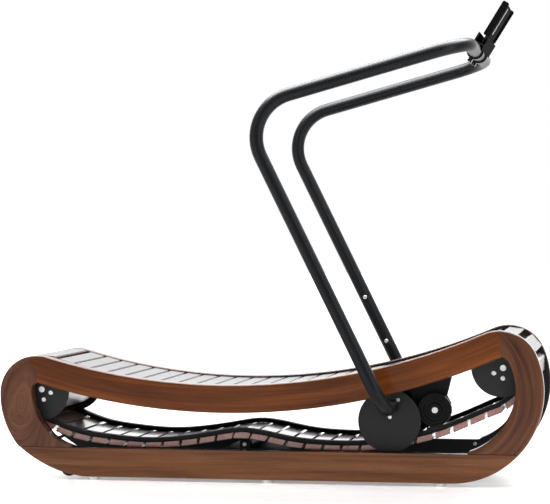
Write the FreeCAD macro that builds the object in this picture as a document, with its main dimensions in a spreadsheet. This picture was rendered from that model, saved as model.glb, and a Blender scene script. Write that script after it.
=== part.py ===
import FreeCAD, Part
import os
from math import asin, atan2, cos, degrees, hypot, pi, radians, sin, sqrt

from FreeCAD import Placement, Rotation, Vector

# Curved manual treadmill: two laminated walnut side frames carry an endless belt of wooden slats
# that runs in a concave curve. +X is the running direction (front), +Y the runner's left, +Z up.
# The origin is on the floor under the middle of the machine. All sizes are millimetres.

doc = FreeCAD.newDocument("treadmill")
sheet = doc.addObject("Spreadsheet::Sheet", "sizes")

DRIVING = {
    # side frames
    "frame_half_length": 861, "frame_outer": 260, "wood_thickness": 45, "edge_round": 7,
    "rail_bottom": 10, "rail_height": 92, "rail_depth": 88,
    "deck_radius": 2050, "deck_centre_x": -134, "deck_low": 305.5,
    "rear_big_radius": 260, "rear_small_radius": 120,
    "front_big_radius": 285, "front_small_radius": 124,
    "plate_thickness": 3, "disc_thickness": 6, "disc_radius": 94, "handrail_disc_radius": 98,
    "plate_inset": 2, "plate_lip": 2,
    # running belt
    "slat_count": 61, "slat_half_length": 202, "slat_width": 49, "slat_wood": 16, "pad_thickness": 2,
    "slat_slant": 20, "deck_drop": 6, "deck_shift": 16, "belt_thickness": 14.6, "cord_depth": 5, "belt_width": 28,
    "belt_outer": 200, "running_gap": 0.4,
    # drums
    "drum_radius": 75, "drum_half_length": 203, "drum_wall": 4, "axle_radius": 10,
    "front_axle_x": 734, "rear_axle_x": -738, "bearing_radius": 23.5, "bearing_width": 14,
    # supports
    "guide_radius": 15, "guide_width": 22, "guide_count": 7, "stud_radius": 6,
    "return_radius": 20, "return_x": -84,
    "wheel_radius": 52, "wheel_width": 26, "wheel_x": 521.5, "shaft_radius": 8,
    "cross_tube_radius": 12, "cross_tube_wall": 2.5, "tie_rod_radius": 5, "sill_length": 210,
    # handrail
    "tube_radius": 21.2, "tube_wall": 2.6, "handrail_y": 395, "bend_radius": 135, "cross_bend": 110,
    "base_bend": 80, "spigot_length": 220, "handrail_disc_x": 381, "handrail_disc_z": 197,
    # tablet holder
    "holder_width": 250, "holder_length": 122, "holder_depth": 22, "holder_plate": 4,
    "holder_lean": 58.3, "bracket_width": 270,
    # feet and transport wheels
    "foot_radius": 19, "roller_radius": 26, "roller_width": 24, "roller_x": -651, "roller_lift": 5,
}
for row, (alias, value) in enumerate(DRIVING.items(), 1):
    sheet.set("A%d" % row, alias)
    sheet.set("B%d" % row, str(value))
    sheet.setAlias("B%d" % row, alias)
doc.recompute()


def size(alias):
    """A driving dimension, read back from the sheet."""
    return float(getattr(sheet, alias))


def bind(obj, **expressions):
    """Bind properties of an object to cells of the sheet."""
    for prop, expression in expressions.items():
        obj.setExpression(prop.replace("__", "."), expression)


PARTS = []


def keep(obj, name):
    """Give a sub-part its node name."""
    obj.Label = name
    PARTS.append(obj)
    return obj


def feature(name, shape, offset=Vector()):
    """A sub-part whose shape comes straight from Part's own functions."""
    obj = doc.addObject("Part::Feature", name)
    obj.Shape = shape
    obj.Placement = Placement(offset, Rotation())
    return keep(obj, name)


def at(x, z, y=0.0):
    return Vector(x, y, z)


def ray(angle, length=1.0):
    """A vector in the XZ plane, its angle in degrees up from +X."""
    return Vector(length * cos(radians(angle)), 0, length * sin(radians(angle)))


def bar(start, end, radius):
    """A round bar between two points."""
    return Part.makeCylinder(radius, (end - start).Length, start, end - start)


def ring(start, end, outer, inner):
    return bar(start, end, outer).cut(bar(start, end, inner))


def cylinder_y(x, z, y_low, y_high, radius):
    return bar(at(x, z, y_low), at(x, z, y_high), radius)


def block(x_low, x_high, y_low, y_high, z_low, z_high):
    return Part.makeBox(x_high - x_low, y_high - y_low, z_high - z_low, at(x_low, z_low, y_low))


def arc_on(centre, radius, start, end):
    """The shorter arc about centre between the directions of two points."""
    a = atan2(start.z - centre.z, start.x - centre.x)
    b = atan2(end.z - centre.z, end.x - centre.x)
    turn = (b - a + pi) % (2 * pi) - pi
    points = [centre + ray(degrees(a + turn * share), radius) for share in (0, 0.5, 1)]
    return Part.Arc(*points)


def extrude(edges, y_low, y_high):
    """A flat outline in the XZ plane, given thickness along Y."""
    wire = Part.Wire(Part.__sortEdges__([e.toShape() if hasattr(e, "toShape") else e for e in edges]))
    face = Part.Face(wire)
    face.translate(Vector(0, y_low, 0))
    return face.extrude(Vector(0, y_high - y_low, 0))


def polygon(points, y_low, y_high):
    edges = [Part.LineSegment(a, b) for a, b in zip(points, points[1:] + points[:1])]
    return extrude(edges, y_low, y_high)


def tangent_centre(big_centre, big_radius, radius, deck_centre, deck_radius, turn):
    """Centre of the arc that joins a frame's end arc (inside it) to the deck curve (outside it)."""
    to_big = big_radius - radius
    to_deck = deck_radius + radius
    line = deck_centre - big_centre
    share = (to_big**2 + line.Length**2 - to_deck**2) / (2 * to_big * line.Length)
    angle = degrees(atan2(line.z, line.x)) + turn * degrees(pi / 2 - asin(share))
    return big_centre + ray(angle, to_big)


def towards(start, end, length):
    return start + (end - start).normalize() * length


# Main centres of the side outline
base = size("rail_bottom")
joint_z = base + size("rail_height")
inner_y = size("frame_outer") - size("wood_thickness")
deck_centre = at(size("deck_centre_x"), size("deck_low") + size("deck_radius"))
rear_centre = at(size("rear_big_radius") - size("frame_half_length"), base + size("rear_big_radius"))
front_centre = at(size("frame_half_length") - size("front_big_radius"), base + size("front_big_radius"))
belt_centre = deck_centre + at(size("deck_shift"), 0)


def curve_point(centre, x, radius):
    """The point at x on the lower half of a circle."""
    return at(x, centre.z - sqrt(radius**2 - (x - centre.x) ** 2))


def deck_point(x, depth=0.0):
    """The point at x on the curve that lies depth below the frame's top edge."""
    return curve_point(deck_centre, x, size("deck_radius") + depth)


def outline_ends(inset=0.0):
    """Arcs of the frame's outer contour, moved inwards by inset: the end arcs and their joins."""
    deck_radius = size("deck_radius") + inset
    result = {}
    for end, big_centre, turn in (("rear", rear_centre, 1), ("front", front_centre, -1)):
        big = size(end + "_big_radius") - inset
        small = size(end + "_small_radius") - inset
        centre = tangent_centre(big_centre, big, small, deck_centre, deck_radius, turn)
        result[end] = {
            "big_centre": big_centre, "big": big, "centre": centre, "small": small,
            "on_deck": towards(centre, deck_centre, small),
            "on_big": towards(big_centre, centre, big),
            "at_joint": big_centre
            + at(-turn * sqrt(big**2 - (big_centre.z - joint_z) ** 2), joint_z - big_centre.z),
        }
    return result


ENDS = outline_ends()
REAR, FRONT = ENDS["rear"], ENDS["front"]
rear_heel = at(-590, base)


def rear_opening(top, move=Vector()):
    """The rear edge of the opening, from top down to its toe: a tight corner, then two long arcs."""
    corner, side, toe = [at(x, base + z) + move for x, z in ((-759.5, 277), (-710, 146), (-638, 98))]
    return [
        Part.Arc(top, at(-752.5, base + 290) + move, corner),
        Part.Arc(corner, at(-748, base + 211) + move, side),
        Part.Arc(side, at(-677, base + 116) + move, toe),
    ], toe


def frame_contours():
    """Outlines of the four glued pieces of one side frame."""
    depth = size("rail_depth")
    lower_radius = size("deck_radius") + depth
    # seams between the top rail and the two bows
    rear_low, front_low = deck_point(-740, depth), deck_point(731, depth)
    rear_mid = at(-741, base + 330)
    rear_high = REAR["centre"] + ray(107, REAR["small"])
    front_high = FRONT["centre"] + ray(94, FRONT["small"])
    top_rail = [
        arc_on(REAR["centre"], REAR["small"], rear_high, REAR["on_deck"]),
        arc_on(deck_centre, size("deck_radius"), REAR["on_deck"], FRONT["on_deck"]),
        arc_on(FRONT["centre"], FRONT["small"], FRONT["on_deck"], front_high),
        Part.LineSegment(front_high, front_low),
        arc_on(deck_centre, lower_radius, front_low, rear_low),
        Part.LineSegment(rear_low, rear_mid),
        Part.LineSegment(rear_mid, rear_high),
    ]
    # rear bow: thick at the back, its opening closes with a tight corner under the top rail
    opening, toe_high = rear_opening(rear_low)
    toe_low = at(-630, joint_z)
    rear_bow = [
        Part.LineSegment(rear_high, rear_mid),
        Part.LineSegment(rear_mid, rear_low),
        *opening,
        Part.LineSegment(toe_high, toe_low),
        Part.LineSegment(toe_low, REAR["at_joint"]),
        arc_on(REAR["big_centre"], REAR["big"], REAR["at_joint"], REAR["on_big"]),
        arc_on(REAR["centre"], REAR["small"], REAR["on_big"], rear_high),
    ]
    # front bow: even thickness round the end, sharper corner under the top rail
    shoulder, brow = at(774, base + 291), at(756, base + 369)
    heel_high, heel_low = at(634, base + 101), at(627, joint_z)
    front_bow = [
        Part.LineSegment(front_low, front_high),
        arc_on(FRONT["centre"], FRONT["small"], front_high, FRONT["on_big"]),
        arc_on(FRONT["big_centre"], FRONT["big"], FRONT["on_big"], FRONT["at_joint"]),
        Part.LineSegment(FRONT["at_joint"], heel_low),
        Part.LineSegment(heel_low, heel_high),
        Part.Arc(heel_high, at(726, base + 164), shoulder),
        Part.Arc(shoulder, at(768, base + 334), brow),
        Part.Arc(brow, at(747, base + 382.5), front_low),
    ]
    front_heel = at(FRONT["big_centre"].x, base)
    bottom_rail = [
        Part.LineSegment(REAR["at_joint"], FRONT["at_joint"]),
        arc_on(FRONT["big_centre"], FRONT["big"], FRONT["at_joint"], front_heel),
        Part.LineSegment(front_heel, rear_heel),
        Part.Arc(rear_heel, at(-710, base + 34), REAR["at_joint"]),
    ]
    return {"top_rail": top_rail, "rear_bow": rear_bow, "front_bow": front_bow, "bottom_rail": bottom_rail}


def plane_of(body, role):
    return next(o for o in body.Origin.OriginFeatures if o.Role == role)


def seam_edge(edge):
    """True for the straight edges of a seam and for edges that cross the board's thickness."""
    ends = [v.Point for v in edge.Vertexes]
    if len(ends) < 2 or abs(ends[0].y - ends[1].y) > 1:
        return True
    straight = isinstance(edge.Curve, Part.Line)
    return straight and abs(ends[0].z - base) + abs(ends[1].z - base) > 1


def wood_board(name, contour, y_face):
    """One board of a side frame: a sketch, a pad and rounded long edges."""
    body = doc.addObject("PartDesign::Body", name)
    sketch = body.newObject("Sketcher::SketchObject", name + "_outline")
    sketch.AttachmentSupport = [(plane_of(body, "XZ_Plane"), "")]
    sketch.MapMode = "FlatFace"
    doc.recompute()
    for piece in contour:
        flat = piece.copy()
        flat.transform(sketch.Placement.inverse().toMatrix())
        sketch.addGeometry(flat, False)
    pad = body.newObject("PartDesign::Pad", name + "_board")
    pad.Profile = sketch
    bind(pad, Length="sizes.wood_thickness")
    doc.recompute()
    edges = ["Edge%d" % i for i, e in enumerate(pad.Shape.Edges, 1) if not seam_edge(e)]
    rounding = body.newObject("PartDesign::Fillet", name + "_rounding")
    rounding.Base = (pad, edges)
    bind(rounding, Radius="sizes.edge_round")
    body.Placement = Placement(Vector(0, y_face, 0), Rotation())
    doc.recompute()
    return keep(body, name)


# The pad grows towards -Y, so each board starts at its own inner or outer face
FACES = {"right": -inner_y, "left": size("frame_outer")}
for side, face in FACES.items():
    for piece, contour in frame_contours().items():
        wood_board("%s_%s" % (side, piece), contour, face)


# Steel side plates lining the inner faces of the wood, and the three discs on each
def side_plate(sign):
    inset, depth = size("plate_inset"), size("rail_depth") - 4
    ends = outline_ends(inset)
    rear, front = ends["rear"], ends["front"]
    low_z = base + inset
    plate_heel, front_heel = at(rear_heel.x, low_z), at(front["big_centre"].x, low_z)
    outer = [
        arc_on(deck_centre, size("deck_radius") + inset, rear["on_deck"], front["on_deck"]),
        arc_on(front["centre"], front["small"], front["on_deck"], front["on_big"]),
        arc_on(front["big_centre"], front["big"], front["on_big"], front_heel),
        Part.LineSegment(front_heel, plate_heel),
        Part.Arc(plate_heel, at(-709, base + 34 + inset), rear["at_joint"]),
        arc_on(rear["big_centre"], rear["big"], rear["at_joint"], rear["on_big"]),
        arc_on(rear["centre"], rear["small"], rear["on_big"], rear["on_deck"]),
    ]
    top_left, top_right = deck_point(-740, depth), deck_point(734, depth)
    lip = size("plate_lip")
    rear_edge, toe = rear_opening(top_left, at(lip, lip / 2))
    low_left, low_right = at(-622, joint_z + lip), at(624, joint_z + lip)
    right = at(776, base + 290)
    opening = [
        arc_on(deck_centre, size("deck_radius") + depth, top_left, top_right),
        Part.Arc(top_right, at(763, base + 370), right),
        Part.Arc(right, at(725, base + 166), low_right),
        Part.LineSegment(low_right, low_left),
        Part.LineSegment(low_left, toe),
        *rear_edge,
    ]
    y_low, y_high = sorted((sign * inner_y, sign * (inner_y - size("plate_thickness"))))
    return extrude(outer, y_low, y_high).cut(extrude(opening, y_low - 1, y_high + 1))


def closest_axle(x):
    """Height of a drum axle whose slats pass deck_drop under the top edge of the frame."""
    return curve_point(belt_centre, x, size("deck_radius") + size("deck_drop") + outer_radius).z


slat_thickness = size("slat_wood") + size("pad_thickness")
belt_inner_radius = size("drum_radius") + size("running_gap")
belt_outer_radius = belt_inner_radius + size("belt_thickness")
outer_radius = belt_outer_radius + slat_thickness
front_axle = at(size("front_axle_x"), closest_axle(size("front_axle_x")))
rear_axle = at(size("rear_axle_x"), closest_axle(size("rear_axle_x")))
disc_outer = inner_y - size("plate_thickness")
disc_inner = disc_outer - size("disc_thickness")
handrail_disc = at(size("handrail_disc_x"), size("handrail_disc_z"))

# small screws of an axle disc, round the axle's own bolt
DISC_SCREWS = {
    "front": (Vector(-28.5, 0, -16.5), Vector(-1, 0, -32.5)),
    "rear": (Vector(30, 0, -10.5), Vector(6.5, 0, -33)),
}
# the discs sit a little off their axles
DISC_OFFSETS = {"front": Vector(-5, 0, 3), "rear": Vector(-5, 0, -6)}
screw_radius, fit = 4.0, 0.05


def disc(centre, radius, sign, holes):
    y_low, y_high = sorted((sign * disc_outer, sign * disc_inner))
    shape = cylinder_y(centre.x, centre.z, y_low, y_high, radius)
    for point, hole in holes:
        shape = shape.cut(cylinder_y(point.x, point.z, y_low - 1, y_high + 1, hole))
    return shape


AXLES = {"front": front_axle, "rear": rear_axle}
AXLE_BOLT_HEAD = 10.0
HANDRAIL_SCREWS = [handrail_disc + Vector(27, 0, 66), handrail_disc + Vector(1.5, 0, 12)]
for side, sign in (("right", -1), ("left", 1)):
    clearances = [
        cylinder_y(axle.x, axle.z, -inner_y, inner_y, AXLE_BOLT_HEAD + fit) for axle in AXLES.values()
    ]
    feature(side + "_side_plate", side_plate(sign).cut(Part.makeCompound(clearances)))
    for end, axle in AXLES.items():
        holes = [(axle, size("axle_radius"))]
        holes += [(axle + step, screw_radius) for step in DISC_SCREWS[end]]
        centre = axle + DISC_OFFSETS[end]
        feature("%s_%s_disc" % (side, end), disc(centre, size("disc_radius"), sign, holes))


# Centre line of the slats: concave deck, two wraps round the drums, sagging return run
def belt_curves(offset):
    """The closed belt path moved out of the loop by offset from the drum faces."""
    wrap = size("drum_radius") + offset
    over = size("deck_radius") + size("deck_drop") + outer_radius - wrap
    leave_rear, leave_front = 22, 40
    start = rear_axle + ray(270 - leave_rear, wrap)
    end = front_axle + ray(270 + leave_front, wrap)
    rear_top = towards(rear_axle, belt_centre, wrap)
    front_top = towards(front_axle, belt_centre, wrap)
    run = Part.BSplineCurve()
    run.interpolate(
        Points=return_points(offset), InitialTangent=ray(-leave_rear), FinalTangent=ray(leave_front)
    )
    return [
        run,
        Part.Arc(end, front_axle + ray(0, wrap), front_top),
        arc_on(belt_centre, over, front_top, rear_top),
        Part.Arc(rear_top, rear_axle + ray(190, wrap), start),
    ]


# the return run at slat mid-thickness: sag, hump over the return roller, sag, climb to the drum
RETURN_RUN = [
    (-620, 122), (-520, 106.5), (-401, 98), (-271, 107), (-156, 126), (-102, 133.5), (-50, 130.5),
    (62, 109), (177, 98.5), (291, 99.5), (430, 119), (572, 160), (700, 216),
]
slat_mid = outer_radius - size("drum_radius") - slat_thickness / 2


def return_points(offset):
    wrap = size("drum_radius") + slat_mid
    start, end = rear_axle + ray(248, wrap), front_axle + ray(310, wrap)
    points = [start] + [at(x + 1, z + base) for x, z in RETURN_RUN] + [end]
    run = Part.BSplineCurve()
    run.interpolate(Points=points, InitialTangent=ray(-22), FinalTangent=ray(40))
    first, last = run.FirstParameter, run.LastParameter
    steps = 44
    moved = []
    for i in range(steps + 1):
        here = first + (last - first) * i / steps
        along = run.tangent(here)[0]
        down = Vector(along.z, 0, -along.x)
        moved.append(run.value(here) + down * (offset - slat_mid))
    return moved


def loop_band(inner, outer, y_low, y_high):
    outside = extrude(belt_curves(outer), y_low, y_high)
    return outside.cut(extrude(belt_curves(inner), y_low - 1, y_high + 1))


belt_in = size("running_gap")
belt_out = belt_in + size("belt_thickness")
belt_low = size("belt_outer") - size("belt_width")
path = Part.Wire(Part.__sortEdges__([c.toShape() for c in belt_curves(belt_in + size("cord_depth"))]))
count = int(size("slat_count"))
steps_per_slat = 8
stations = path.discretize(Number=steps_per_slat * count + 1)[:-1]
loop_face = Part.Face(path)


def hexagon(face, direction, radius, depth):
    """A hexagonal prism that runs from face along direction, with corners at radius."""
    side = direction.cross(Vector(0, 1, 0)).normalize() if abs(direction.y) < 0.9 else Vector(1, 0, 0)
    other = direction.cross(side)
    turns = [n * pi / 3 for n in range(7)]
    corners = [face + side * (radius * cos(turn)) + other * (radius * sin(turn)) for turn in turns]
    return Part.Face(Part.makePolygon(corners)).extrude(direction * depth)


def station(index):
    """Point on the belt's cords, direction and outward normal at one slat, and the belt's bow there."""
    reach = 3
    i = steps_per_slat * index
    before, here, after = stations[i - reach], stations[i], stations[(i + reach) % len(stations)]
    along = (after - before).normalize()
    normal = Vector(-along.z, 0, along.x)
    if loop_face.isInside(here + normal * 2, 0.01, True):
        normal = normal * -1
    bow = ((before + after) * 0.5 - here).dot(normal) / reach**2
    return here, along, normal, bow


half = size("slat_width") / 2
wood, pad_thickness = size("slat_wood"), size("pad_thickness")
slant = sin(radians(size("slat_slant"))) / cos(radians(size("slat_slant")))
to_foot, to_inner = belt_out - belt_in - size("cord_depth"), size("cord_depth")
bolt_y = belt_low + size("belt_width") / 2
bolt_head_radius, bolt_head_height, bolt_shank_radius, bolt_bite = 5.5, 3.0, 3.0, 9.0
slat_y, bevel, pad_edge, pad_slope = size("slat_half_length"), 1.0, 1.0, 0.3
slats, pads, bolts = [], [], []
for n in range(count):
    here, along, normal, bow = station(n)
    step = path.Length / len(stations)
    foot = here + normal * (to_foot + max(0.0, bow) * (half / step) ** 2 + 0.1)

    def corner(across, out):
        """A corner of the slat's section, whose sides lean back as they rise off the belt."""
        return foot + along * (across - (out - wood / 2) * slant) + normal * out

    slat = polygon([
        corner(-half, 0), corner(half, 0), corner(half, wood - bevel),
        corner(half - bevel, wood), corner(-half + bevel, wood), corner(-half, wood - bevel),
    ], -slat_y, slat_y)
    top = wood + pad_thickness
    pads.append(polygon([
        corner(-half + pad_edge, wood), corner(half - pad_edge, wood),
        corner(half - pad_edge - pad_slope, top), corner(-half + pad_edge + pad_slope, top),
    ], -slat_y + 2, slat_y - 2))
    for sign in (-1, 1):
        inner = here - normal * (to_inner + 0.2) + Vector(0, sign * bolt_y, 0)
        neck = inner + normal * bolt_head_height
        tip = foot + normal * bolt_bite + Vector(0, sign * bolt_y, 0)
        head = bar(inner, neck, bolt_head_radius).cut(hexagon(inner, normal, 2.5, 2))
        shank = bar(neck, tip, bolt_shank_radius)
        bolts.append(head.fuse(shank).removeSplitter())
        slat = slat.cut(bolts[-1])
    slats.append(slat)

bolt_group = Part.makeCompound(bolts)
slat_group = Part.makeCompound(slats)
pad_group = Part.makeCompound(pads)
for side, sign in (("right", -1), ("left", 1)):
    y_low, y_high = sorted((sign * belt_low, sign * size("belt_outer")))
    feature(side + "_toothed_belt", loop_band(belt_in, belt_out, y_low, y_high))
feature("slats", slat_group)
feature("slat_pads", pad_group)
feature("slat_bolts", bolt_group)


# Drums: aluminium shells with webbed hubs, each on two bearings and a fixed axle
def turned(profile, axis):
    """A solid of revolution about the Y line through axis; profile is (radius, y) pairs."""
    points = [axis + Vector(radius, y, 0) for radius, y in profile]
    edges = [Part.LineSegment(a, b).toShape() for a, b in zip(points, points[1:] + points[:1])]
    return Part.Face(Part.Wire(edges)).revolve(axis, Vector(0, 1, 0), 360)


bearing_seat = 177.0


def drum(axle):
    """A thin shell with a web and a bearing hub near each end."""
    shell, length = size("drum_radius"), size("drum_half_length")
    skin, bore = shell - size("drum_wall"), size("bearing_radius") + fit
    hub, stop = bore + 8, size("axle_radius") + 4
    web_low, web_high = bearing_seat + 3, bearing_seat + 10
    mouth, lip = bearing_seat + size("bearing_width") + 1, bearing_seat - 4
    profile = [
        (shell, -length), (shell, length), (skin, length), (skin, web_high), (hub, web_high),
        (hub, mouth), (bore, mouth), (bore, bearing_seat), (stop, bearing_seat), (stop, lip),
        (hub, lip), (hub, web_low), (skin, web_low),
    ]
    mirrored = [(radius, -y) for radius, y in reversed(profile[2:])]
    return turned(profile + mirrored, axle)


def full_width(name, kind, centre):
    """A primitive round bar from one side plate to the other."""
    solid = doc.addObject("Part::Cylinder", name)
    bind(solid, Radius="sizes." + kind, Height="2 * (sizes.frame_outer - sizes.wood_thickness"
         " - sizes.plate_thickness)")
    solid.Placement = Placement(centre + Vector(0, disc_outer, 0), Rotation(Vector(1, 0, 0), 90))
    return keep(solid, name)


races = []
for end, axle in AXLES.items():
    feature(end + "_drum", drum(axle))
    full_width(end + "_axle", "axle_radius", axle)
    low = bearing_seat + 0.5
    for start, stop in ((low, low + size("bearing_width")), (-low - size("bearing_width"), -low)):
        near, far = axle + Vector(0, start, 0), axle + Vector(0, stop, 0)
        races.append(ring(near, far, size("bearing_radius"), size("axle_radius")))
feature("drum_bearings", Part.makeCompound(races))


def screw(face, direction, head_radius, head_height, shank_radius, shank_length):
    """A screw whose domed head sits on face and whose shank runs back against direction."""
    head = bar(face, face + direction * head_height, head_radius)
    top = [e for e in head.Edges if isinstance(e.Curve, Part.Circle)
           and abs((e.Curve.Center - face).dot(direction) - head_height) < 0.01]
    head = head.makeFillet(head_height * 0.45, top)
    socket = hexagon(face + direction * (head_height + 0.1), direction * -1, head_radius / 2, 0.6 * head_height)
    head = head.cut(socket)
    return head.fuse(bar(face - direction * shank_length, face, shank_radius)).removeSplitter()


# bolts into the ends of the two axles and of the hold-down shaft, and the discs' small screws
axle_bolts, panel_screws = [], []
for sign in (-1, 1):
    out = Vector(0, sign, 0)
    for end, axle in AXLES.items():
        face = axle + out * disc_outer
        axle_bolts.append(screw(face, out, AXLE_BOLT_HEAD, size("plate_thickness") - fit, 5, 20))
        for step in DISC_SCREWS[end]:
            panel_screws.append(screw(face + step, out, 7.4, 3.2, screw_radius, size("disc_thickness")))

# Guide rollers under the deck curve, one right and one left roller at each station
belt_depth = size("deck_drop") + slat_thickness + size("belt_thickness")
guide_depth = belt_depth + 2 * size("running_gap") + size("guide_radius")
stud_radius = size("stud_radius")
guide_reach, guide_face = 590.0, belt_low + 1
guide_step = 2 * guide_reach / (size("guide_count") - 1)
studs = []


def shouldered_stud(centre, inner, shoulder, sign, radius):
    """A stud that carries a roller and stands off the side plate on a thicker shoulder."""
    ends = [centre + Vector(0, sign * y, 0) for y in (inner, shoulder, disc_outer)]
    return bar(ends[0], ends[2], radius).fuse(bar(ends[1], ends[2], radius + 3)).removeSplitter()


for n in range(int(size("guide_count"))):
    centre = curve_point(belt_centre, n * guide_step - guide_reach, size("deck_radius") + guide_depth)
    rollers = []
    for sign in (-1, 1):
        near = centre + Vector(0, sign * guide_face, 0)
        far = near + Vector(0, sign * size("guide_width"), 0)
        rollers.append(ring(near, far, size("guide_radius"), stud_radius + fit))
        studs.append(shouldered_stud(centre, guide_face - 3, size("belt_outer") - 1, sign, stud_radius))
    feature("guide_rollers_%02d" % (n + 1), Part.makeCompound(rollers))

# Cross members between the side plates: tubes under the deck and at both ends, a tie rod, a sill
tube_depth = 64.0
hanger_tube = deck_point(2.5 * guide_step, tube_depth)
tube_centres = [deck_point(step * guide_step, tube_depth) for step in (-2.5, -0.5, 0.5)]
tube_centres += [hanger_tube, at(-797, base + 152), at(792, base + 188)]
cross_radius, across = size("cross_tube_radius"), Vector(0, disc_outer, 0)
cross_bore = cross_radius - size("cross_tube_wall")
tubes = [ring(centre - across, centre + across, cross_radius, cross_bore) for centre in tube_centres]
feature("cross_tubes", Part.makeCompound(tubes))
full_width("rear_tie_rod", "tie_rod_radius", at(-689, base + 116))
sill_low, sill_high = base + 70, base + 82
sill = doc.addObject("Part::Box", "centre_cross_plate")
bind(sill, Length="sizes.sill_length")
sill.Width, sill.Height = 2 * disc_outer, sill_high - sill_low
sill.Placement = Placement(at(-164, sill_low, -disc_outer), Rotation())
keep(sill, "centre_cross_plate")


def settle(x, z, radius, target, away):
    """Height at which a roller of this radius clears target by the running gap."""
    for _ in range(12):
        probe = cylinder_y(x, z, 174, 176, radius)
        z += away * (size("running_gap") - probe.distToShape(target)[0])
    return z


def nearby(group, x, reach):
    """The solids of the return run within reach of x."""
    close = [s for s in group.Solids if abs(s.BoundBox.Center.x - x) < reach]
    return Part.makeCompound([s for s in close if s.BoundBox.Center.z < rear_axle.z])


# Return roller that lifts the slack run, on an axle between two posts
return_x = size("return_x")
lifted = nearby(pad_group, return_x, 90)
return_z = settle(return_x, base + 96, size("return_radius"), lifted, -1)
roller_half, post_low, post_high = 158, 166, 174
near, far = at(return_x, return_z, -roller_half), at(return_x, return_z, roller_half)
feature("return_roller", ring(near, far, size("return_radius"), stud_radius + fit))
axle_half = post_high + 4
feature("return_roller_axle", cylinder_y(return_x, return_z, -axle_half, axle_half, stud_radius))
posts = []
for sign in (-1, 1):
    y_low, y_high = sorted((sign * post_low, sign * post_high))
    post = block(return_x - 17, return_x + 17, y_low, y_high, sill_high, return_z + 10)
    posts.append(post.cut(cylinder_y(return_x, return_z, y_low - 1, y_high + 1, stud_radius)))
feature("return_roller_posts", Part.makeCompound(posts))

# Hold-down wheel on the right belt: it keeps the return run down before the climb to the front drum
wheel_x, shaft_radius = size("wheel_x"), size("shaft_radius")
belt_slice = loop_band(belt_in, belt_out, 173, 177)
wheel_z = settle(wheel_x, base + 226, size("wheel_radius"), belt_slice, 1)
wheel = at(wheel_x, wheel_z)
wheel_face, hub_depth = -belt_low - 1, 24
shaft_end = wheel_face - hub_depth
hanger_plates = {"right": -156, "left": -118}
hanger_thickness = 6


def hold_down_wheel():
    """A wheel with a raised tyre, a recessed web and a hub that carries a grease nipple."""
    rim, bore = size("wheel_radius"), shaft_radius + fit
    web = rim - 16
    steps = [
        (rim, 0), (rim, 26), (rim - 6, 26), (rim - 8, 23), (web, 23), (web - 2, 18), (23, 18),
        (21, hub_depth), (bore, hub_depth), (bore, 0),
    ]
    body = turned([(radius, wheel_face - depth) for radius, depth in steps], wheel)
    seat = wheel + Vector(3.2, shaft_end + 2, -15.2)
    return body.fuse(bar(seat, seat + Vector(0, -4, 0), 4.4)).removeSplitter()


feature("hold_down_wheel", hold_down_wheel())
feature("hold_down_shaft", cylinder_y(wheel.x, wheel.z, shaft_end, hanger_plates["left"] + 10, shaft_radius))
axle_bolts.append(screw(at(wheel.x, wheel.z, shaft_end), Vector(0, -1, 0), 10, 3.5, 4, 20))
feature("axle_bolts", Part.makeCompound(axle_bolts))


def hanger(y_low):
    """Plate that hangs the wheel shaft from a deck cross tube."""
    outline = [
        deck_point(434, 60), deck_point(572, 60), at(567, base + 318), at(553, base + 262),
        wheel + ray(20, 48), wheel + ray(-35, 40), wheel + ray(-90, 34), wheel + ray(-150, 44),
        wheel + ray(160, 78), at(438, base + 290),
    ]
    y_high = y_low + hanger_thickness
    plate = polygon(outline, y_low, y_high)
    for centre, radius in ((hanger_tube, cross_radius), (wheel, shaft_radius)):
        plate = plate.cut(cylinder_y(centre.x, centre.z, y_low - 1, y_high + 1, radius))
    return plate


for side, face in hanger_plates.items():
    feature(side + "_wheel_hanger", hanger(face))


# Handrail: one bent upper tube on two lower stubs, joined by spigots
def rounded_path(points, radii):
    """Straight runs joined by tangent arcs."""
    edges, start = [], points[0]
    for i, radius in enumerate(radii, 1):
        back = (points[i - 1] - points[i]).normalize()
        ahead = (points[i + 1] - points[i]).normalize()
        half_turn = (pi - back.getAngle(ahead)) / 2
        reach = radius * sin(half_turn) / cos(half_turn)
        into, out = points[i] + back * reach, points[i] + ahead * reach
        middle = (back + ahead).normalize()
        top = points[i] + middle * (hypot(radius, reach) - radius)
        edges += [Part.LineSegment(start, into).toShape(), Part.Arc(into, top, out).toShape()]
        start = out
    edges.append(Part.LineSegment(start, points[-1]).toShape())
    return Part.Wire(edges)


def swept(spine, radius):
    start = spine.Edges[0]
    along = start.tangentAt(start.FirstParameter)
    circle = Part.Wire([Part.makeCircle(radius, start.valueAt(start.FirstParameter), along)])
    return spine.makePipeShell([circle], True, False)


tube, bore = size("tube_radius"), size("tube_radius") - size("tube_wall")
leg_foot, leg_top = at(388, base + 232), at(-64.3, base + 1150.3)
arm = ray(15.5)
sleeve = towards(leg_foot, leg_top, 278)
bar_x = 638.0
cross = leg_top + arm * ((bar_x - leg_top.x) / arm.x)


def rail_side(point, sign):
    return Vector(point.x, sign * size("handrail_y"), point.z)


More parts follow.
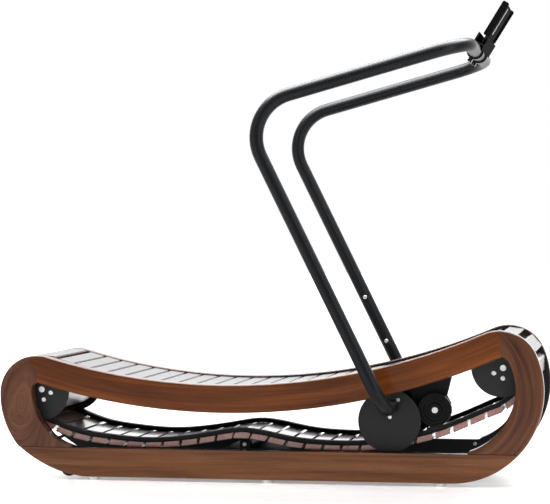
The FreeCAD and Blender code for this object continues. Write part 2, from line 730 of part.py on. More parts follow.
corners = [sleeve, leg_top, cross]
upper_points = [rail_side(p, -1) for p in corners] + [rail_side(p, 1) for p in reversed(corners)]
bend, cross_bend = size("bend_radius"), size("cross_bend")
upper = rounded_path(upper_points, [bend, cross_bend, cross_bend, bend])
handrail = swept(upper, tube).cut(swept(upper, bore))
leg_line = (leg_top - leg_foot).normalize()
rail_bolts, spigots, stubs = [], [], {}
for side, sign in (("right", -1), ("left", 1)):
    joint, inward = rail_side(sleeve, sign), Vector(0, -sign, 0)
    holes = []
    for step in (-82, 83):
        face = joint + leg_line * step + inward * tube
        rail_bolts.append(screw(face, inward, 6.5, 3.5, screw_radius, 2 * tube - 10))
        holes.append(bar(face + inward, face - inward * (2 * tube - 9), screw_radius + fit))
    drilled = Part.makeCompound(holes)
    handrail = handrail.cut(drilled)
    half_spigot = leg_line * (size("spigot_length") / 2)
    spigots.append(bar(joint - half_spigot, joint + half_spigot, bore - 0.2).cut(drilled))
    entry = Vector(leg_foot.x, sign * disc_inner, leg_foot.z)
    lower = rounded_path([entry, rail_side(leg_foot, sign), joint], [size("base_bend")])
    stubs[side] = swept(lower, tube).cut(swept(lower, bore)).cut(drilled)
feature("handrail", handrail)
for side, shape in stubs.items():
    feature(side + "_handrail_stub", shape)
feature("handrail_spigots", Part.makeCompound(spigots))
feature("handrail_bolts", Part.makeCompound(rail_bolts))

# Discs that carry the handrail stubs, with a shallow V pressed in round the tube
x, z = handrail_disc.x, handrail_disc.z
vee = [at(x - 80, z + 110), at(x - 22, z + 14), at(x, z - 4), at(x + 20, z + 12), at(x + 62, z + 110)]
vee_depth = 2.2
for side, sign in (("right", -1), ("left", 1)):
    holes = [(leg_foot, tube)] + [(point, screw_radius) for point in HANDRAIL_SCREWS]
    y_low, y_high = sorted((sign * (disc_outer - vee_depth), sign * (disc_outer + 1)))
    pressed = disc(handrail_disc, size("handrail_disc_radius"), sign, holes).cut(polygon(vee, y_low, y_high))
    feature(side + "_handrail_disc", pressed)
    for point in HANDRAIL_SCREWS:
        face = point + Vector(0, sign * (disc_outer - vee_depth), 0)
        panel_screws.append(screw(face, Vector(0, sign, 0), 6, 2.6, screw_radius, 3.8))

# wood screws through the side plates
for sign in (-1, 1):
    for x, z in ((-520, 40), (-250, 40), (180, 40), (460, 40), (614, 80), (-834, 200), (826, 205)):
        face = at(x, base + z, sign * disc_outer)
        panel_screws.append(screw(face, Vector(0, -sign, 0), 6, 2.6, 2.5, 30))
feature("panel_screws", Part.makeCompound(panel_screws))

# Tablet holder, clamped round the handrail's cross bar and leaning away from the runner
lean = size("holder_lean")
holder_origin = at(665, base + 1395)


def holder_point(along, ahead):
    """A point of the holder's side view: along its slope, and ahead of the runner's face."""
    return holder_origin + ray(lean, along) + ray(lean - 90, ahead)


def holder_polygon(points, y_low, y_high):
    return polygon([holder_point(*p) for p in points], y_low, y_high)


def holder_block(low, high, y_low, y_high):
    """A block square to the holder, from its (along, ahead) low corner to its high corner."""
    corners = [low, (high[0], low[1]), high, (low[0], high[1])]
    return holder_polygon(corners, y_low, y_high)


half_holder, half_bracket = size("holder_width") / 2, size("bracket_width") / 2
long, deep, cheek = size("holder_length"), size("holder_depth"), 6
tang, plate_near, plate_far = -29, 9, 9 + size("holder_plate")
back = holder_block((tang, plate_near), (long - 2, plate_far), -half_holder + cheek, half_holder - cheek)
slot = holder_block((22, plate_near - 1), (108, plate_far + 1), -2.5, 2.5)
feature("tablet_back", back.cut(slot))
side_rail = [
    (0, 3), (3, 0), (long - 3, 0), (long, 3), (long, deep - 4), (long - 4, deep), (4, deep), (0, deep - 4),
]
rails = [
    holder_polygon(side_rail, -half_holder, -half_holder + cheek),
    holder_polygon(side_rail, half_holder - cheek, half_holder),
]
feature("tablet_side_rails", Part.makeCompound(rails))
floor_low, floor_high = -33, -30
channel = [
    (-1, -13), (-1, -10), (floor_high, -10), (floor_high, 23.5), (-2, 23.5), (-2, 26.5), (-47, 26.5),
    (-47, 23.5), (floor_low, 23.5), (floor_low, -13),
]
bracket = holder_polygon(channel, -half_bracket, half_bracket)
feature("tablet_bracket", bracket)
clamps, clamp_screws = [], []
clamp_half, nip = 16, Vector(0, 1, 0)
for y in (-75, 75):
    low, high = y - clamp_half, y + clamp_half
    near, far = Vector(bar_x, low, cross.z), Vector(bar_x, high, cross.z)
    clamp = bar(near, far, tube + 6).fuse(holder_block((-95, -3), (-78, 10), low, high))
    clamp = clamp.cut(bar(near - nip, far + nip, tube + fit))
    clamp = clamp.cut(holder_block((floor_low, -40), (60, 60), low - 1, high + 1))
    clamp = clamp.cut(holder_block((-47.5, 23.5), (60, 60), low - 1, high + 1))
    split = holder_block((-99, 2.5), (-80, 4.5), low - 1, high + 1)
    head_at = holder_point(-90, -3) + Vector(0, y, 0)
    clamp_screw = screw(head_at, ray(lean + 90), 4.5, 3, 2.5, 12)
    clamps.append(clamp.cut(split).cut(clamp_screw).removeSplitter())
    clamp_screws.append(clamp_screw)
feature("tablet_clamps", Part.makeCompound(clamps))
feature("tablet_clamp_screws", Part.makeCompound(clamp_screws))

# Rubber feet under the rails, and transport wheels behind their rear ends
board_y = (size("frame_outer") + inner_y) / 2
feet = [
    bar(at(x, 0, sign * board_y), at(x, base, sign * board_y), size("foot_radius"))
    for sign in (-1, 1) for x in (-560, 0, 540)
]
feature("feet", Part.makeCompound(feet))
roller = at(size("roller_x"), size("roller_lift") + size("roller_radius"))
roller_out = disc_inner - 4
roller_in = roller_out - size("roller_width")
for side, sign in (("right", -1), ("left", 1)):
    near, far = roller + Vector(0, sign * roller_in, 0), roller + Vector(0, sign * roller_out, 0)
    feature(side + "_transport_wheel", ring(near, far, size("roller_radius"), stud_radius + fit))
    studs.append(shouldered_stud(roller, roller_in - 3, roller_out + 1, sign, stud_radius))
feature("roller_studs", Part.makeCompound(studs))

doc.recompute()
for obj in PARTS:
    if "Invalid" in obj.State or "Error" in obj.State:
        raise RuntimeError("failed object: " + obj.Label)
    if obj.Shape.isNull() or not obj.Shape.isValid():
        raise RuntimeError("bad shape: " + obj.Label)
os.makedirs("parts", exist_ok=True)
for obj in PARTS:
    obj.Shape.exportStep("parts/%s.step" % obj.Label)
print("belt length", round(path.Length), "pitch", round(path.Length / count, 2))
print("tube volume ratio", round(swept(upper, tube).Volume / (pi * tube**2 * upper.Length), 4))
print("axles", front_axle, rear_axle, "wheel", wheel, "return roller", return_z, "cross bar", cross)
print(len(PARTS), "nodes exported")
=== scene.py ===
import bmesh
import bpy
from math import cos, hypot, radians, sin
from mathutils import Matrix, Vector


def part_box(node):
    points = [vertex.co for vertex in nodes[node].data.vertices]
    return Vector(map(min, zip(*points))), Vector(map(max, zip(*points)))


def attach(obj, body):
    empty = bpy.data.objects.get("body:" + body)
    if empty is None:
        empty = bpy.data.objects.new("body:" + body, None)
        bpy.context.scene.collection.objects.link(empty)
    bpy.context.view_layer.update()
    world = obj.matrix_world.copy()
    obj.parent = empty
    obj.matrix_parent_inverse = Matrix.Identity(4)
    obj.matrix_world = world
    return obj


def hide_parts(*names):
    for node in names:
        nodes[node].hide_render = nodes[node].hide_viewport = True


# Looks of the curved manual treadmill. Every piece is in metres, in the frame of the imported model:
# +X front, +Y the runner's left, +Z up, origin on the floor under the middle.
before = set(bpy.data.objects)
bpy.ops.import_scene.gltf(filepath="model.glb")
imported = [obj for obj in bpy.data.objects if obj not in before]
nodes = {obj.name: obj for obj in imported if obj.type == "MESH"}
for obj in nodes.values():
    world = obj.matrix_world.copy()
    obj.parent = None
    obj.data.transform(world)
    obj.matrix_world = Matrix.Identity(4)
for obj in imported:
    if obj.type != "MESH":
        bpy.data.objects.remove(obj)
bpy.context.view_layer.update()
SIDES = ("right", "left")


# Node graphs
class Graph:
    """Short names for the kinds of shader node used here."""

    def __init__(self, tree):
        self.tree = tree
        tree.nodes.clear()

    def node(self, kind, **settings):
        made = self.tree.nodes.new(kind)
        for name, value in settings.items():
            setattr(made, name, value)
        return made

    def feed(self, socket, value):
        if isinstance(value, bpy.types.NodeSocket):
            self.tree.links.new(value, socket)
        else:
            socket.default_value = value

    def calc(self, operation, *values, clamp=False):
        made = self.node("ShaderNodeMath", operation=operation, use_clamp=clamp)
        for socket, value in zip(made.inputs, values):
            self.feed(socket, value)
        return made.outputs[0]

    def turned(self, across, up, angle):
        """(across, up) along axes that are turned by an angle."""
        parts = ((across, cos), (up, sin), (up, cos), (across, sin))
        scaled = [self.calc("MULTIPLY", part, share(angle)) for part, share in parts]
        return self.calc("ADD", *scaled[:2]), self.calc("SUBTRACT", *scaled[2:])

    def length(self, across, up):
        """How far (across, up) is from the middle."""
        squares = self.calc("MULTIPLY", across, across), self.calc("MULTIPLY", up, up)
        return self.calc("SQRT", self.calc("ADD", *squares))

    def axes(self, vector):
        """The vector's X, Y and Z."""
        made = self.node("ShaderNodeSeparateXYZ")
        self.feed(made.inputs[0], vector)
        return made.outputs

    def stretch(self, vector, *scales):
        """The vector with each axis times its own scale."""
        return self.join(*(self.calc("MULTIPLY", part, scale) for part, scale in zip(vector, scales)))

    def join(self, x, y, z):
        made = self.node("ShaderNodeCombineXYZ")
        for socket, value in zip(made.inputs, (x, y, z)):
            self.feed(socket, value)
        return made.outputs[0]

    def noise(self, vector, scale=1.0, detail=2.0, roughness=0.5, distortion=0.0):
        made = self.node("ShaderNodeTexNoise")
        settings = {"Scale": scale, "Detail": detail, "Roughness": roughness, "Distortion": distortion}
        self.feed(made.inputs["Vector"], vector)
        for name, value in settings.items():
            made.inputs[name].default_value = value
        return made.outputs["Fac"]

    def ramp(self, value, *stops):
        made = self.node("ShaderNodeValToRGB")
        self.feed(made.inputs["Fac"], value)
        points = made.color_ramp.elements
        while len(points) < len(stops):
            points.new(0.5)
        for point, (position, colour) in zip(points, stops):
            point.position = position
            point.color = (*colour, 1.0) if isinstance(colour, tuple) else (colour, colour, colour, 1.0)
        return made.outputs["Color"]

    def mix(self, share, first, second, how="MIX"):
        made = self.node("ShaderNodeMix", data_type="RGBA", blend_type=how)
        colours = made.inputs[6], made.inputs[7]
        for socket, value in zip((made.inputs["Factor"], *colours), (share, first, second)):
            self.feed(socket, (*value, 1.0) if isinstance(value, tuple) else value)
        return made.outputs[2]

    def bump(self, height, distance, under=None):
        made = self.node("ShaderNodeBump")
        made.inputs["Distance"].default_value = distance
        self.feed(made.inputs["Height"], height)
        if under is not None:
            self.feed(made.inputs["Normal"], under)
        return made.outputs["Normal"]


class Shader(Graph):
    """One procedural material round a principled surface."""

    def __init__(self, name):
        self.material = bpy.data.materials.new(name)
        self.material.use_nodes = True
        super().__init__(self.material.node_tree)
        output = self.node("ShaderNodeOutputMaterial")
        self.surface = self.node("ShaderNodeBsdfPrincipled")
        self.tree.links.new(self.surface.outputs["BSDF"], output.inputs["Surface"])
        self.place = self.node("ShaderNodeTexCoord").outputs["Object"]
        self.normal = self.node("ShaderNodeNewGeometry").outputs["Normal"]

    def finish(self, **inputs):
        for name, value in inputs.items():
            value = (*value, 1.0) if isinstance(value, tuple) else value
            self.feed(self.surface.inputs[name.replace("_", " ")], value)
        return self.material


def wear(shader, scale):
    """Uneven gloss such as handling leaves."""
    return shader.noise(shader.place, scale, 4, 0.6)


# Half-width and colour of the thin dark band of painted shade at a seam between boards.
SEAM_HALF = 0.0012
SEAM_SHADE_COLOUR = (0.006, 0.003, 0.002)


def walnut(name, flow, dark, light, figure=0.012, stripe=46.0, seam=0.0):
    """Lacquered walnut. flow gives the way along the grain, across it and through the board, in metres.

    figure is how far the grain wanders, and stripe how close its rings are. seam is the height of the joint
    between boards, where a thin dark band of painted shade stands for the shadow in the gap.
    """
    wood = Shader(name)
    along, across, through = flow(wood)
    drift = wood.noise(wood.stretch((along, across, through), 2.2, 9.0, 1.0), 1.0, 3)
    swirl = wood.calc("MULTIPLY_ADD", drift, figure, across)
    grain = along, swirl, through
    growth = wood.noise(wood.stretch(grain, 1.6, stripe, 18.0), 1.0, 4, 0.62, 0.25)
    fibre = wood.noise(wood.stretch(grain, 9.0, 520.0, 300.0), 1.0, 3, 0.7)
    pores = wood.noise(wood.stretch(grain, 55.0, 1500.0, 900.0), 1.0, 2, 0.6)
    board = wood.noise(wood.stretch((along, across, through), 3.0, 7.0, 1.0), 1.0, 2)
    middle = tuple(0.55 * a + 0.45 * b for a, b in zip(dark, light))
    rings = wood.ramp(growth, (0.30, dark), (0.47, middle), (0.68, light))
    streaks = wood.ramp(fibre, (0.25, 0.72), (0.75, 1.16))
    patches = wood.ramp(board, (0.3, 0.86), (0.7, 1.12))
    pits = wood.ramp(pores, (0.30, 0.45), (0.40, 1.0))
    colour = wood.mix(1.0, rings, streaks, "MULTIPLY")
    colour = wood.mix(1.0, colour, patches, "MULTIPLY")
    colour = wood.mix(0.8, colour, pits, "MULTIPLY")
    # Painted shade: a thin dark band at the seam height stands for the shadow in the gap between boards.
    gap = wood.calc("ABSOLUTE", wood.calc("SUBTRACT", wood.axes(wood.place)[2], seam))
    colour = wood.mix(wood.calc("LESS_THAN", gap, SEAM_HALF), colour, SEAM_SHADE_COLOUR)
    relief = wood.bump(pits, 0.00008, wood.bump(fibre, 0.00005))
    rough = wood.calc("MULTIPLY_ADD", wear(wood, 14.0), 0.12, 0.34)
    return wood.finish(
        Base_Color=colour, Roughness=rough, Normal=relief, Coat_Weight=0.9, Coat_Roughness=0.16,
        Coat_IOR=1.27, Specular_IOR_Level=0.0)


def circle_through(first, second, third):
    """Centre (x, z) and radius of the circle through three points of the side view."""
    (ax, az), (bx, bz), (cx, cz) = ((p.x, p.z) for p in (first, second, third))
    twice = 2 * (ax * (bz - cz) + bx * (cz - az) + cx * (az - bz))
    a, b, c = ax * ax + az * az, bx * bx + bz * bz, cx * cx + cz * cz
    x = (a * (bz - cz) + b * (cz - az) + c * (az - bz)) / twice
    z = (a * (cx - bx) + b * (ax - cx) + c * (bx - ax)) / twice
    return (x, z), hypot(ax - x, az - z)


def lowest_near(node, x, reach=0.03):
    """The node's lowest corner about x."""
    near = [v.co for v in nodes[node].data.vertices if abs(v.co.x - x) < reach]
    return min(near, key=lambda p: p.z)


def foremost_near(node, z, reach=0.02):
    """The node's foremost corner about z."""
    near = [v.co for v in nodes[node].data.vertices if abs(v.co.z - z) < reach]
    return max(near, key=lambda p: p.x)


def straight_flow(wood):
    """Grain along X."""
    x, y, z = wood.axes(wood.place)
    return x, z, y


def round_flow(centre, radius):
    """Grain along arcs about a centre of the side view."""
    def flow(wood):
        x, y, z = wood.axes(wood.place)
        right, up = wood.calc("SUBTRACT", x, centre[0]), wood.calc("SUBTRACT", z, centre[1])
        turn = wood.calc("ARCTAN2", right, wood.calc("MULTIPLY", up, -1.0))
        return wood.calc("MULTIPLY", turn, radius), wood.length(right, up), y
    return flow


def knot_flow(centre, narrow, tilt):
    """Grain that runs up the board in tall ovals round a knot."""
    def flow(wood):
        x, y, z = wood.axes(wood.place)
        right, up = wood.calc("SUBTRACT", x, centre[0]), wood.calc("SUBTRACT", z, centre[1])
        aside, ahead = wood.turned(right, up, tilt)
        return ahead, wood.length(aside, wood.calc("MULTIPLY", ahead, narrow)), y
    return flow


def shades(colour, low, high):
    """A darker and a lighter shade of a colour."""
    return tuple(low * c for c in colour), tuple(high * c for c in colour)


def coated(name, colour, roughness, specular):
    """Powder-coated or painted metal with a fine skin."""
    paint = Shader(name)
    skin = paint.noise(paint.place, 900.0, 3, 0.6)
    darker, lighter = shades(colour, 0.85, 1.15)
    tone = paint.ramp(wear(paint, 7.0), (0.3, darker), (0.7, lighter))
    rough = paint.calc("MULTIPLY_ADD", wear(paint, 23.0), 0.12, roughness)
    return paint.finish(
        Base_Color=tone, Roughness=rough, Normal=paint.bump(skin, 0.00004), Specular_IOR_Level=specular)


def metal(name, colour, roughness, stretch):
    """Bare metal with fine turning or brushing marks, drawn out by stretch along each axis."""
    bare = Shader(name)
    marks = bare.noise(bare.stretch(bare.axes(bare.place), *stretch), 400.0, 3, 0.6)
    darker, same = shades(colour, 0.8, 1.0)
    tone = bare.ramp(marks, (0.3, darker), (0.7, same))
    rough = bare.calc("MULTIPLY_ADD", marks, 0.15, roughness)
    return bare.finish(Base_Color=tone, Metallic=1.0, Roughness=rough, Normal=bare.bump(marks, 0.00003))


def holder_plate():
    """Dark brushed sheet with a painted highlight: a paler band down the middle, along the slot and wider
    than it.
    """
    sheet = Shader("holder_plate")
    x, y, z = sheet.axes(sheet.place)
    marks = sheet.noise(sheet.stretch((x, y, z), 30.0, 900.0, 30.0), 1.0, 3, 0.6)
    tone = sheet.ramp(marks, (0.3, (0.010, 0.010, 0.0105)), (0.7, (0.032, 0.032, 0.033)))
    low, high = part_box("tablet_back")
    line_middle = low.z + 0.62 * (high.z - low.z)
    line_half_length = 0.31 * (high.z - low.z)
    line_half_width = 0.010
    # Painted highlight: a paler band along the slot, wider than the slot itself.
    reach = sheet.calc("ABSOLUTE", sheet.calc("SUBTRACT", z, line_middle))
    beside = sheet.calc("LESS_THAN", sheet.calc("ABSOLUTE", y), line_half_width)
    slot_highlight = sheet.calc("MULTIPLY", beside, sheet.calc("LESS_THAN", reach, line_half_length))
    return sheet.finish(
        Base_Color=sheet.mix(slot_highlight, tone, (0.42, 0.42, 0.42)), Roughness=0.55,
        Normal=sheet.bump(marks, 0.00003), Specular_IOR_Level=0.0)


def rubber(name, colour, roughness, grain, depth, specular=0.5):
    """Rubber or moulded plastic with a pebbled skin and a little dust."""
    skin = Shader(name)
    pebbles = skin.node("ShaderNodeTexVoronoi", feature="SMOOTH_F1")
    skin.feed(pebbles.inputs["Vector"], skin.place)
    pebbles.inputs["Scale"].default_value = grain
    dust = skin.ramp(wear(skin, 11.0), (0.35, colour), (0.8, tuple(1.3 * c + 0.004 for c in colour)))
    rough = skin.calc("MULTIPLY_ADD", wear(skin, 31.0), 0.12, roughness)
    return skin.finish(
        Base_Color=dust, Roughness=rough, Normal=skin.bump(pebbles.outputs["Distance"], depth),
        Specular_IOR_Level=specular)


def slat_wood():
    """Lacquered slats, each of its own tone, with paler, pinkish sawn ends."""
    wood = Shader("slat_wood")
    x, y, z = wood.axes(wood.place)
    fibre = wood.noise(wood.stretch((x, y, z), 240.0, 7.0, 240.0), 1.0, 4, 0.65)
    each = wood.noise(wood.stretch((x, y, z), 16.0, 0.0, 16.0), 1.0, 1)
    face = wood.ramp(fibre, (0.28, (0.07, 0.030, 0.017)), (0.72, (0.20, 0.095, 0.055)))
    sawn = wood.noise(wood.place, 190.0, 4, 0.6)
    end = wood.ramp(sawn, (0.3, (0.23, 0.088, 0.062)), (0.7, (0.36, 0.16, 0.12)))
    sideways = wood.calc("ABSOLUTE", wood.axes(wood.normal)[1])
    colour = wood.mix(wood.calc("GREATER_THAN", sideways, 0.8), face, end)
    colour = wood.mix(1.0, colour, wood.ramp(each, (0.3, 0.8), (0.7, 1.2)), "MULTIPLY")
    return wood.finish(
        Base_Color=colour, Roughness=0.3, Normal=wood.bump(fibre, 0.00001), Coat_Weight=0.8,
        Coat_Roughness=0.1, Coat_Tint=(0.93, 0.93, 1.0))


def dress(material, *names):
    """Gives CAD nodes a material."""
    for name in names:
        slots = nodes[name].data.materials
        slots.clear()
        slots.append(material)


def both(*names):
    """The names of the right and the left node of each pair."""
    return [side + "_" + name for side in SIDES for name in names]


# Toothed belts
def side_loops(node):
    """The node's outline in the side view: its inner and its outer loop of (x, z) points."""
    grid = bmesh.new()
    grid.from_mesh(nodes[node].data)
    bmesh.ops.remove_doubles(grid, verts=grid.verts, dist=1e-6)
    face_y = min(v.co.y for v in grid.verts)
    edges = [
        e for e in grid.edges
        if all(abs(v.co.y - face_y) < 1e-5 for v in e.verts)
        and any(abs(f.normal.y) < 0.5 for f in e.link_faces)
    ]
    joined = {}
    for edge in edges:
        for here, there in (edge.verts, reversed(edge.verts)):
            joined.setdefault(here, []).append(there)
    loops, left = [], set(joined)
    while left:
        first = min(left, key=lambda v: (v.co.x, v.co.z))
        left.discard(first)
        loop, last, here = [first], first, joined[first][0]
        while here is not first:
            loop.append(here)
            left.discard(here)
            last, here = here, next(v for v in joined[here] if v is not last)
        loops.append([Vector((v.co.x, 0, v.co.z)) for v in loop])
    grid.free()
    return sorted(loops, key=loop_length)


def loop_length(loop):
    return sum((b - a).length for a, b in zip(loop, loop[1:] + loop[:1]))


def walk(loop, count):
    """count points evenly spaced along a closed loop."""
    total, corners = loop_length(loop), loop + loop[:1]
    result, edge, passed = [], 0, 0.0
    for n in range(count):
        want = total * n / count
        while passed + (corners[edge + 1] - corners[edge]).length < want:
            passed += (corners[edge + 1] - corners[edge]).length
            edge += 1
        step = corners[edge + 1] - corners[edge]
        result.append(corners[edge] + step * ((want - passed) / step.length))
    return result


def nearest_on(loop, point):
    """The place on a closed loop nearest to point."""
    best = None
    for a, b in zip(loop, loop[1:] + loop[:1]):
        step = b - a
        share = min(1.0, max(0.0, (point - a).dot(step) / step.length_squared))
        found = a + step * share
        if best is None or (found - point).length_squared < (best - point).length_squared:
            best = found
    return best


def solids_in(node):
    """How many separate solids a node has."""
    grid = bmesh.new()
    grid.from_mesh(nodes[node].data)
    bmesh.ops.remove_doubles(grid, verts=grid.verts, dist=1e-6)
    left, solids = set(grid.verts), 0
    while left:
        solid = [left.pop()]
        for corner in solid:
            found = {edge.other_vert(corner) for edge in corner.link_edges} & left
            left -= found
            solid.extend(found)
        solids += 1
    grid.free()
    return solids


TEETH_PER_SLAT = 8
TOOTH_DEPTH = 0.0055
TOOTH_LENGTH = 0.006
BELT_CHAMFER = 0.0012
BELT_SKIN = 0.0003
STEPS_PER_TOOTH = 20
GAP_FROM_TO = (0.0, 0.34)
CREST_FROM_TO = (0.5, 0.84)


def belt_ring(heel, tip, cut, y_low, y_high):
    """The belt's section, from its inner face at heel to its outer face at tip, with both edges cut down."""
    out = (tip - heel).normalized()
    edge, root, core = tip - out * cut, tip - out * (TOOTH_DEPTH + 0.001), tip - out * BELT_SKIN
    flank = heel + out * BELT_CHAMFER
    inward, beside = TOOTH_LENGTH, TOOTH_LENGTH + BELT_SKIN
    section = [
        (heel, y_low + BELT_CHAMFER), (flank, y_low), (root, y_low),
        (edge, y_low), (edge, y_low + inward), (core, y_low + beside),
        (core, y_high - beside), (edge, y_high - inward), (edge, y_high),
        (root, y_high), (flank, y_high), (heel, y_high - BELT_CHAMFER)]
    return [(point.x, y, point.z) for point, y in section]


def toothed_belt(node, material):
    """A rubber belt with a plain inner band and fine teeth, cut into both edges of the slats' side."""
    inner, outer = side_loops(node)
    low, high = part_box(node)
    teeth = solids_in("slats") * TEETH_PER_SLAT
    places = walk(outer, teeth * STEPS_PER_TOOTH)
    shape = [(share, TOOTH_DEPTH) for share in GAP_FROM_TO] + [(share, 0.0) for share in CREST_FROM_TO]
    grid = bmesh.new()
    rings = []
    for tooth in range(teeth):
        for share, cut in shape:
            tip = places[tooth * STEPS_PER_TOOTH + round(share * STEPS_PER_TOOTH)]
            ring = belt_ring(nearest_on(inner, tip), tip, cut, low.y, high.y)
            rings.append([grid.verts.new(place) for place in ring])
    for here, there in zip(rings, rings[1:] + rings[:1]):
        for n, corner in enumerate(here):
            m = (n + 1) % len(here)
            grid.faces.new((corner, here[m], there[m], there[n]))
    bmesh.ops.recalc_face_normals(grid, faces=grid.faces)
    mesh = bpy.data.meshes.new(node + "_teeth")
    grid.to_mesh(mesh)
    grid.free()
    mesh.materials.append(material)
    belt = bpy.data.objects.new(node + "_teeth", mesh)
    bpy.context.scene.collection.objects.link(belt)
    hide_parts(node)
    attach(belt, "frame")


# Woods
deck = circle_through(*(lowest_near("right_top_rail", x) for x in (-0.55, -0.1, 0.45)))
front_end = circle_through(*(foremost_near("right_front_bow", z) for z in (0.16, 0.26, 0.36)))
joint_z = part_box("right_bottom_rail")[1].z
knot = (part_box("right_rear_bow")[0].x + 0.071, joint_z + 0.136)

walnut_deck = walnut("walnut_deck", round_flow(*deck), (0.049, 0.0115, 0.0024), (0.158, 0.044, 0.009))
walnut_rail = walnut(
    "walnut_rail", straight_flow, (0.082, 0.029, 0.0112), (0.205, 0.080, 0.032), seam=joint_z)
walnut_rear = walnut(
    "walnut_rear", knot_flow(knot, 0.35, -0.15), (0.034, 0.012, 0.0062), (0.15, 0.06, 0.031),
    figure=0.11, stripe=38.0, seam=joint_z)
walnut_front = walnut(
    "walnut_front", round_flow(*front_end), (0.028, 0.009, 0.0048), (0.130, 0.049, 0.022),
    figure=0.03, stripe=40.0, seam=joint_z)
dress(walnut_deck, *both("top_rail"))
dress(walnut_rail, *both("bottom_rail"))
dress(walnut_rear, *both("rear_bow"))
dress(walnut_front, *both("front_bow"))
dress(slat_wood(), "slats")

# Rubber and plastic
pad_rubber = rubber("pad_rubber", (0.030, 0.031, 0.037), 0.22, 700.0, 0.000002, 0.42)
belt_rubber = rubber("belt_rubber", (0.004, 0.004, 0.0045), 0.42, 900.0, 0.00004, 0.16)
wheel_plastic = rubber("wheel_plastic", (0.0025, 0.0025, 0.003), 0.32, 600.0, 0.00002, 0.12)
foot_rubber = rubber("foot_rubber", (0.62, 0.60, 0.58), 0.5, 500.0, 0.0001)
guide_rollers = ["guide_rollers_%02d" % n for n in range(1, 8)]
dress(pad_rubber, "slat_pads")
dress(belt_rubber, *both("toothed_belt"))
dress(wheel_plastic, "hold_down_wheel", "return_roller", *both("transport_wheel"), *guide_rollers)
dress(foot_rubber, "feet")

# Coated metals
black_steel = coated("black_steel", (0.005, 0.005, 0.0055), 0.55, 0.2)
disc_coat = coated("disc_coat", (0.011, 0.011, 0.0115), 0.5, 0.3)
tube_coat = coated("tube_coat", (0.0045, 0.005, 0.0065), 0.3, 0.15)
holder_coat = coated("holder_coat", (0.004, 0.004, 0.0045), 0.5, 0.02)
dress(black_steel, "centre_cross_plate", "cross_tubes", "rear_tie_rod", "return_roller_posts")
dress(black_steel, *both("side_plate", "wheel_hanger"))
dress(disc_coat, *both("front_disc", "rear_disc", "handrail_disc"))
dress(tube_coat, "handrail", "tablet_clamps", *both("handrail_stub"))
dress(holder_coat, "tablet_side_rails")
dress(holder_plate(), "tablet_back", "tablet_bracket")

# Bare metals
drum_aluminium = metal("drum_aluminium", (0.36, 0.36, 0.37), 0.3, (1.0, 14.0, 1.0))
bearing_steel = metal("bearing_steel", (0.55, 0.55, 0.56), 0.3, (1.0, 8.0, 1.0))
bright_steel = metal("bright_steel", (0.78, 0.78, 0.78), 0.22, (1.0, 1.0, 1.0))
dull_zinc = metal("dull_zinc", (0.22, 0.22, 0.22), 0.42, (1.0, 1.0, 1.0))
dress(drum_aluminium, "front_drum", "rear_drum")
dress(bearing_steel, "drum_bearings", "front_axle", "rear_axle", "hold_down_shaft")
dress(bearing_steel, "return_roller_axle", "roller_studs", "handrail_spigots")
dress(bright_steel, "axle_bolts", "panel_screws", "handrail_bolts", "tablet_clamp_screws")
dress(dull_zinc, "slat_bolts")

for node in both("toothed_belt"):
    toothed_belt(node, belt_rubber)


# Studio
def floor(frame_edge):
    """Pale, faintly glowing paper with a painted shadow: its colour and emission are a little darker in
    front of the object's right side.
    """
    mesh = bpy.data.meshes.new("studio_floor")
    reach = 40.0
    corners = [(-reach, -reach, 0), (reach, -reach, 0), (reach, reach, 0), (-reach, reach, 0)]
    mesh.from_pydata(corners, [], [(0, 1, 2, 3)])
    paper = Shader("studio_floor")
    grain = paper.noise(paper.place, 30.0, 3)
    x, y, _ = paper.axes(paper.place)
    ahead = paper.calc("MAXIMUM", paper.calc("SUBTRACT", paper.calc("MULTIPLY", y, -1.0), frame_edge), 0.0)
    aside = paper.calc("SUBTRACT", paper.calc("ABSOLUTE", x), 0.6)
    open_floor = paper.calc("MULTIPLY", aside, 3.0, clamp=True)
    # Painted shadow: the paper's colour dips in front of the object's right side and eases back further out.
    near = paper.ramp(ahead, (0.0, 0.8), (0.12, 0.66), (0.27, 0.55), (0.42, 0.52), (0.75, 0.66), (1.0, 0.8))
    # Painted shadow in the emission as well: weaker near the object, stronger far out.
    shadowed_glow = paper.ramp(ahead, (0.0, 0.30), (0.12, 0.2), (0.4, 0.2), (1.0, 0.45))
    tone = paper.mix(open_floor, near, (0.8, 0.8, 0.8))
    mesh.materials.append(paper.finish(
        Base_Color=paper.mix(1.0, tone, paper.ramp(grain, (0.0, 0.98), (1.0, 1.0)), "MULTIPLY"),
        Emission_Color=(1.0, 0.965, 0.95), Emission_Strength=paper.mix(open_floor, shadowed_glow, (0.45, 0.45, 0.45)),
        Roughness=0.3, Specular_IOR_Level=0.3))
    ground = bpy.data.objects.new("studio_floor", mesh)
    bpy.context.scene.collection.objects.link(ground)


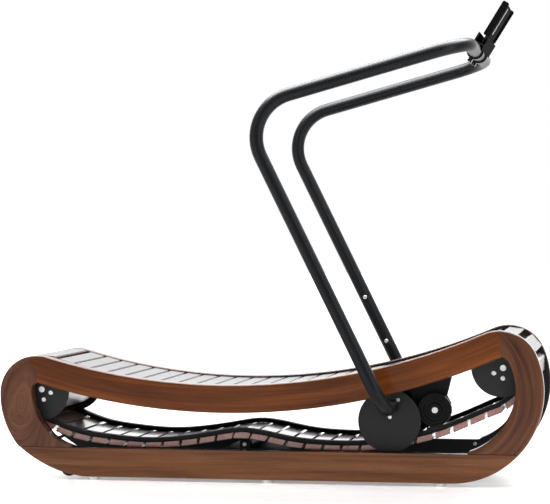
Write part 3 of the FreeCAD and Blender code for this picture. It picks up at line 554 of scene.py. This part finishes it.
def sky():
    """White where it is seen; round the object it is brighter behind and above than in front."""
    world = bpy.data.worlds.new("studio")
    bpy.context.scene.world = world
    world.use_nodes = True
    air = Graph(world.node_tree)
    output = air.node("ShaderNodeOutputWorld")
    toward = air.axes(air.node("ShaderNodeTexCoord").outputs["Generated"])
    from_front = air.calc("MULTIPLY_ADD", toward[1], 0.5, 0.5)
    behind = air.ramp(from_front, (0.0, 0.025), (0.35, 0.05), (0.6, 0.45), (1.0, 1.0))
    above = air.calc("MAXIMUM", toward[2], 0.0)
    strength = air.calc("MULTIPLY_ADD", behind, 1.9, air.calc("MULTIPLY", above, 0.5))
    seen = air.node("ShaderNodeLightPath").outputs["Is Camera Ray"]
    backdrop = air.node("ShaderNodeBackground")
    around = air.node("ShaderNodeBackground")
    air.feed(around.inputs["Strength"], strength)
    choice = air.node("ShaderNodeMixShader")
    for socket, value in zip(choice.inputs, (seen, around.outputs[0], backdrop.outputs[0])):
        air.feed(socket, value)
    for light in (backdrop, around):
        light.inputs["Color"].default_value = (1.0, 1.0, 1.0, 1.0)
    air.feed(output.inputs["Surface"], choice.outputs[0])


def softbox(name, place, target, width, height, power):
    """A soft lamp that isn't seen itself."""
    light = bpy.data.lights.new(name, "AREA")
    light.shape, light.size, light.size_y, light.energy = "RECTANGLE", width, height, power
    lamp = bpy.data.objects.new(name, light)
    lamp.location = place
    lamp.rotation_mode = "QUATERNION"
    lamp.rotation_quaternion = (Vector(target) - Vector(place)).to_track_quat("-Z", "Y")
    lamp.visible_camera = False
    bpy.context.scene.collection.objects.link(lamp)
    return lamp


def look():
    """The camera stands low at the runner's right, ahead of the middle."""
    azimuth, pitch = radians(9.9), radians(0.344)
    lens = bpy.data.cameras.new("camera")
    lens.sensor_width, lens.lens = 36.0, 137.5
    lens.clip_start, lens.clip_end = 0.1, 200.0
    camera = bpy.data.objects.new("camera", lens)
    camera.location = (1.154, -6.709, 0.762)
    back = Vector((sin(azimuth) * cos(pitch), -cos(azimuth) * cos(pitch), sin(pitch)))
    camera.rotation_mode = "QUATERNION"
    camera.rotation_quaternion = (-back).to_track_quat("-Z", "Y")
    bpy.context.scene.collection.objects.link(camera)
    bpy.context.scene.camera = camera


floor(-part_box("right_bottom_rail")[0].y)
sky()
softbox("overhead", (0.0, -0.4, 3.6), (0.0, 0.0, 0.0), 4.5, 3.5, 190.0)
softbox("overhead_gloss", (0.0, 0.3, 3.5), (0.0, 0.0, 0.0), 4.5, 2.6, 750.0).visible_diffuse = False
softbox("right_strip", (2.6, -2.0, 1.3), (0.1, 0.0, 0.8), 0.5, 2.4, 26.0)
softbox("left_strip", (-2.4, -2.8, 1.4), (0.0, 0.0, 0.7), 1.0, 2.2, 22.0)
look()
bpy.context.scene.view_settings.view_transform = "Standard"
